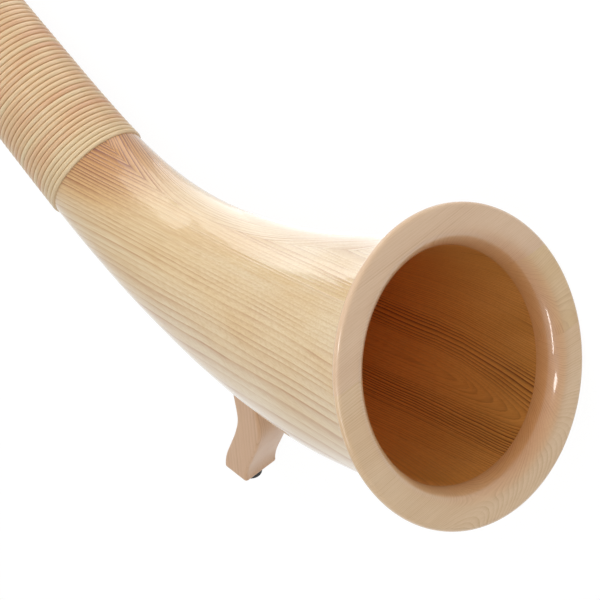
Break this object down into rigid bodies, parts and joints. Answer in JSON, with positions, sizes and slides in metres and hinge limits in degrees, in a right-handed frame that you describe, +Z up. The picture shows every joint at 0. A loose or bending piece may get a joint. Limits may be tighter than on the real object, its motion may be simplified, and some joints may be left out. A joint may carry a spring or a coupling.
{
  "type": "alphorn",
  "caption": "Long wooden alphorn in sections that pull apart, with an upcurved flared bell, turned rim, cane winding, wooden foot and mouthpiece, lying on its side.",
  "frame": {"origin": "middle of the bounding box at the floor, with the horn lying on its left side", "axes": "+X along the straight tube towards the bell, +Z up from the floor; the bell turns up and aside towards +Y and the foot stands out towards -Y"},
  "size_m": [3.4602, 0.5252, 0.263],
  "materials": {
    "spruce": "clear gloss lacquer on quarter-sawn spruce",
    "maple": "satin lacquer on turned maple",
    "cane": "satin natural cane",
    "rubber": "matt black",
    "aluminium": "fine turned",
    "steel": "zinc plated",
    "cork": "bare sheet cork"
  },
  "bodies": {
    "bell_section": {"bell_half_right": "spruce", "bell_half_left": "spruce", "bell_ring_upper": "maple", "bell_ring_right": "maple", "bell_ring_lower": "maple", "bell_ring_left": "maple", "bell_rattan_winding": "cane", "foot_block": "maple", "foot_glide": "rubber", "foot_glide_screw": "steel", "bell_wrap_sleeve": "cane", "bell_socket_collar": "maple", "bell_socket_sleeve": "aluminium"},
    "middle_seals": {"middle_seal_upper": "rubber", "middle_seal_lower": "rubber"},
    "middle_section": {"middle_half_right": "spruce", "middle_half_left": "spruce", "middle_tenon_sleeve": "aluminium", "middle_tenon_collar": "maple", "middle_wrap_sleeve": "cane", "middle_socket_collar": "maple", "middle_socket_sleeve": "aluminium"},
    "hand_seals": {"hand_seal_upper": "rubber", "hand_seal_lower": "rubber"},
    "hand_section": {"hand_half_right": "spruce", "hand_half_left": "spruce", "hand_tenon_sleeve": "aluminium", "hand_tenon_collar": "maple", "hand_wrap_sleeve": "cane", "mouth_collar": "maple", "mouth_bush": "aluminium"},
    "cork_wrap": {"mouthpiece_cork": "cork"},
    "mouthpiece": {"mouthpiece": "maple"}
  },
  "joints": [
    {"name": "middle_pull", "type": "slide", "parent": "bell_section", "child": "middle_seals", "axis": [-0.9999, 0, -0.0132], "range_m": [0, 0.12]},
    {"name": "middle_turn", "type": "hinge", "parent": "middle_seals", "child": "middle_section", "pos_m": [0.47985, -0.10078, 0.05205], "axis": [-0.9999, 0, -0.0132], "continuous": true},
    {"name": "hand_pull", "type": "slide", "parent": "middle_section", "child": "hand_seals", "axis": [-0.9999, 0, -0.0132], "range_m": [0, 0.12]},
    {"name": "hand_turn", "type": "hinge", "parent": "hand_seals", "child": "hand_section", "pos_m": [-0.60006, -0.10078, 0.03781], "axis": [-0.9999, 0, -0.0132], "continuous": true},
    {"name": "mouthpiece_pull", "type": "slide", "parent": "hand_section", "child": "cork_wrap", "axis": [-0.9999, 0, -0.0132], "range_m": [0, 0.06]},
    {"name": "mouthpiece_turn", "type": "hinge", "parent": "cork_wrap", "child": "mouthpiece", "pos_m": [-1.64796, -0.10078, 0.02399], "axis": [-0.9999, 0, -0.0132], "continuous": true}
  ]
}
